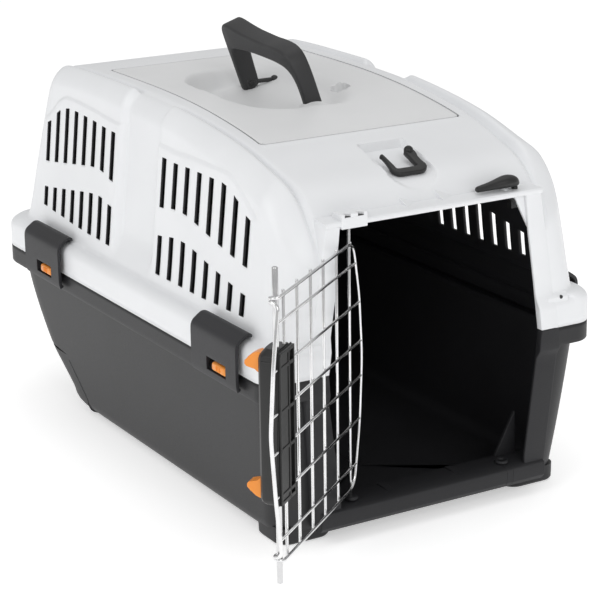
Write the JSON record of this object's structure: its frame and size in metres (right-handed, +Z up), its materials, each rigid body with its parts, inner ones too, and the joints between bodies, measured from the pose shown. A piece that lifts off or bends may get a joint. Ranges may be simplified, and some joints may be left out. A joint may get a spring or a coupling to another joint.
{
  "type": "pet transport carrier",
  "caption": "Hard-shell pet carrier: dark tray and white vented cover clipped together, swinging wire door with sprung latch rods, folding top handle, strap loops.",
  "frame": {"origin": "on the floor, in the plane of the feet, under the middle of the width; the middle of the rim's length lies 4.5 mm towards the doorway from it", "axes": "-Y is the doorway side, +X is to the right seen from the doorway side, +Z is up"},
  "size_m": [0.4098, 0.6597, 0.4071],
  "materials": {
    "tray_plastic": "fine moulded texture, semi-matt",
    "shell_plastic": "smooth moulded, semi-gloss",
    "panel_plastic": "smooth moulded, semi-gloss",
    "handle_plastic": "fine moulded texture",
    "pin_plastic": "moulded",
    "bail_plastic": "moulded",
    "grille_wire": "bright plated wire",
    "latch_plastic": "moulded, semi-matt",
    "rod_steel": "bright plated rod",
    "orange_plastic": "smooth moulded",
    "spring_steel": "drawn wire",
    "lever_plastic": "moulded",
    "clip_plastic": "fine moulded texture"
  },
  "bodies": {
    "carrier": {"lower_tray": "tray_plastic", "upper_shell": "shell_plastic", "roof_panel": "panel_plastic", "handle_pin_front": "pin_plastic", "handle_pin_rear": "pin_plastic", "clip_pin_rear_left": "rod_steel", "clip_pin_front_left": "rod_steel", "clip_pin_rear_right": "rod_steel", "clip_pin_front_right": "rod_steel"},
    "handle": {"carry_handle": "handle_plastic"},
    "front_bail": {"front_strap_bail": "bail_plastic"},
    "rear_bail": {"rear_strap_bail": "bail_plastic"},
    "door": {"door_grille": "grille_wire", "door_hinge_rod": "grille_wire", "latch_housing": "latch_plastic", "latch_cover": "latch_plastic", "upper_latch_spring": "spring_steel", "lower_latch_spring": "spring_steel"},
    "upper_latch": {"upper_latch_rod": "rod_steel", "upper_thumb_tab": "orange_plastic"},
    "lower_latch": {"lower_latch_rod": "rod_steel", "lower_thumb_tab": "orange_plastic"},
    "safety_lever": {"door_safety_lever": "lever_plastic"},
    "clip_rear_left": {"side_clip_rear_left": "clip_plastic"},
    "lock_rear_left": {"clip_lock_rear_left": "orange_plastic"},
    "clip_front_left": {"side_clip_front_left": "clip_plastic"},
    "lock_front_left": {"clip_lock_front_left": "orange_plastic"},
    "clip_rear_right": {"side_clip_rear_right": "clip_plastic"},
    "lock_rear_right": {"clip_lock_rear_right": "orange_plastic"},
    "clip_front_right": {"side_clip_front_right": "clip_plastic"},
    "lock_front_right": {"clip_lock_front_right": "orange_plastic"}
  },
  "joints": [
    {"name": "door_swing", "type": "hinge", "parent": "carrier", "child": "door", "pos_m": [-0.081, -0.267, 0.155], "axis": [0, 0, -1], "range_deg": [-142, 2]},
    {"name": "upper_latch_slide", "type": "slide", "parent": "door", "child": "upper_latch", "axis": [0, 0, -1], "range_m": [0, 0.01], "stiffness_N_per_m": 250, "springref_m": -0.008, "deforming": ["upper_latch_spring"]},
    {"name": "lower_latch_slide", "type": "slide", "parent": "door", "child": "lower_latch", "axis": [0, 0, 1], "range_m": [0, 0.01], "stiffness_N_per_m": 250, "springref_m": -0.008, "deforming": ["lower_latch_spring"]},
    {"name": "handle_fold", "type": "hinge", "parent": "carrier", "child": "handle", "pos_m": [0, -0.016, 0.342], "axis": [0, 1, 0], "range_deg": [-70, 18]},
    {"name": "front_bail_lift", "type": "hinge", "parent": "carrier", "child": "front_bail", "pos_m": [0, -0.214, 0.32], "axis": [-1, 0, 0], "range_deg": [0, 120]},
    {"name": "rear_bail_lift", "type": "hinge", "parent": "carrier", "child": "rear_bail", "pos_m": [0, 0.2316, 0.306], "axis": [1, 0, 0], "range_deg": [0, 120]},
    {"name": "safety_lever_turn", "type": "hinge", "parent": "carrier", "child": "safety_lever", "pos_m": [0.0887, -0.27, 0.29], "axis": [0, 0, 1], "range_deg": [0, 40]},
    {"name": "clip_rear_left_open", "type": "hinge", "parent": "carrier", "child": "clip_rear_left", "pos_m": [-0.177, 0.153, 0.146], "axis": [0, -1, 0], "range_deg": [0, 65]},
    {"name": "clip_rear_left_lock", "type": "slide", "parent": "clip_rear_left", "child": "lock_rear_left", "axis": [0, 1, 0], "range_m": [0, 0.009]},
    {"name": "clip_front_left_open", "type": "hinge", "parent": "carrier", "child": "clip_front_left", "pos_m": [-0.177, -0.206, 0.146], "axis": [0, -1, 0], "range_deg": [0, 65]},
    {"name": "clip_front_left_lock", "type": "slide", "parent": "clip_front_left", "child": "lock_front_left", "axis": [0, 1, 0], "range_m": [0, 0.009]},
    {"name": "clip_rear_right_open", "type": "hinge", "parent": "carrier", "child": "clip_rear_right", "pos_m": [0.177, 0.153, 0.146], "axis": [0, 1, 0], "range_deg": [0, 65]},
    {"name": "clip_rear_right_lock", "type": "slide", "parent": "clip_rear_right", "child": "lock_rear_right", "axis": [0, 1, 0], "range_m": [0, 0.009]},
    {"name": "clip_front_right_open", "type": "hinge", "parent": "carrier", "child": "clip_front_right", "pos_m": [0.177, -0.206, 0.146], "axis": [0, 1, 0], "range_deg": [0, 65]},
    {"name": "clip_front_right_lock", "type": "slide", "parent": "clip_front_right", "child": "lock_front_right", "axis": [0, 1, 0], "range_m": [0, 0.009]}
  ]
}
